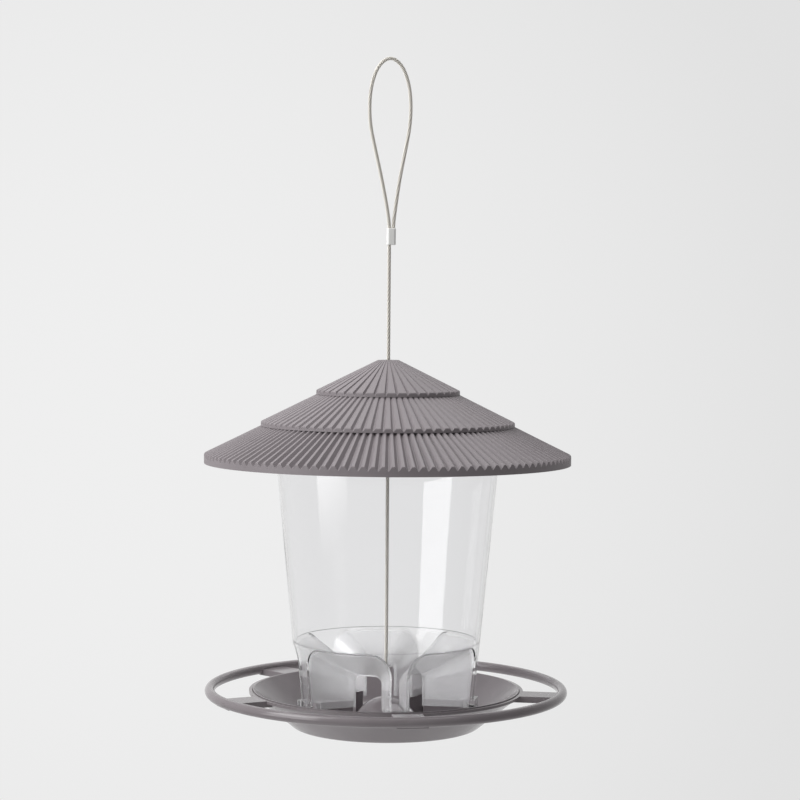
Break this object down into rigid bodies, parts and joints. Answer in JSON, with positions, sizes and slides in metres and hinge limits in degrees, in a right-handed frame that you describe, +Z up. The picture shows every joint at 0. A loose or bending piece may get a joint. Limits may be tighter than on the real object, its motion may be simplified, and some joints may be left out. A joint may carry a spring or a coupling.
{
  "type": "silo bird feeder",
  "caption": "Hanging bird feeder with a ribbed tiered roof, a clear tapered hopper with arched ports, a round tray with a ring perch, and a wire rope hanger with a crimped loop.",
  "frame": {"origin": "the inside of the rope loop's top, where the feeder hangs", "axes": "+Z up along the rope; -Y through one arm of the port base; the loop lies in the XZ plane"},
  "size_m": [0.25, 0.25, 0.4566],
  "materials": {
    "roof_plastic": "matt moulded plastic, warm mid grey",
    "tray_plastic": "satin moulded plastic, warm mid grey",
    "clear_plastic": "clear polished plastic",
    "frosted_plastic": "clear plastic with a frosted face",
    "wire_rope": "stranded steel wire",
    "crimp_metal": "pressed aluminium",
    "washer_steel": "plain steel"
  },
  "bodies": {
    "hanger": {"hanger_cable": "wire_rope", "hanger_loop": "wire_rope", "loop_ferrule": "crimp_metal", "end_stop": "crimp_metal", "end_washer": "washer_steel"},
    "tray": {"feeding_tray": "tray_plastic", "perch_ring": "tray_plastic"},
    "hopper": {"hopper_cone": "clear_plastic", "port_base": "frosted_plastic"},
    "roof": {"roof": "roof_plastic"}
  },
  "joints": [
    {"name": "tray_swivel", "type": "hinge", "parent": "hanger", "child": "tray", "pos_m": [0, 0, -0.4382], "axis": [0, 0, 1], "continuous": true},
    {"name": "hopper_lift", "type": "slide", "parent": "tray", "child": "hopper", "axis": [0, 0, 1], "range_m": [0, 0.024]},
    {"name": "roof_lift", "type": "slide", "parent": "hopper", "child": "roof", "axis": [0, 0, 1], "range_m": [0, 0.052]}
  ]
}
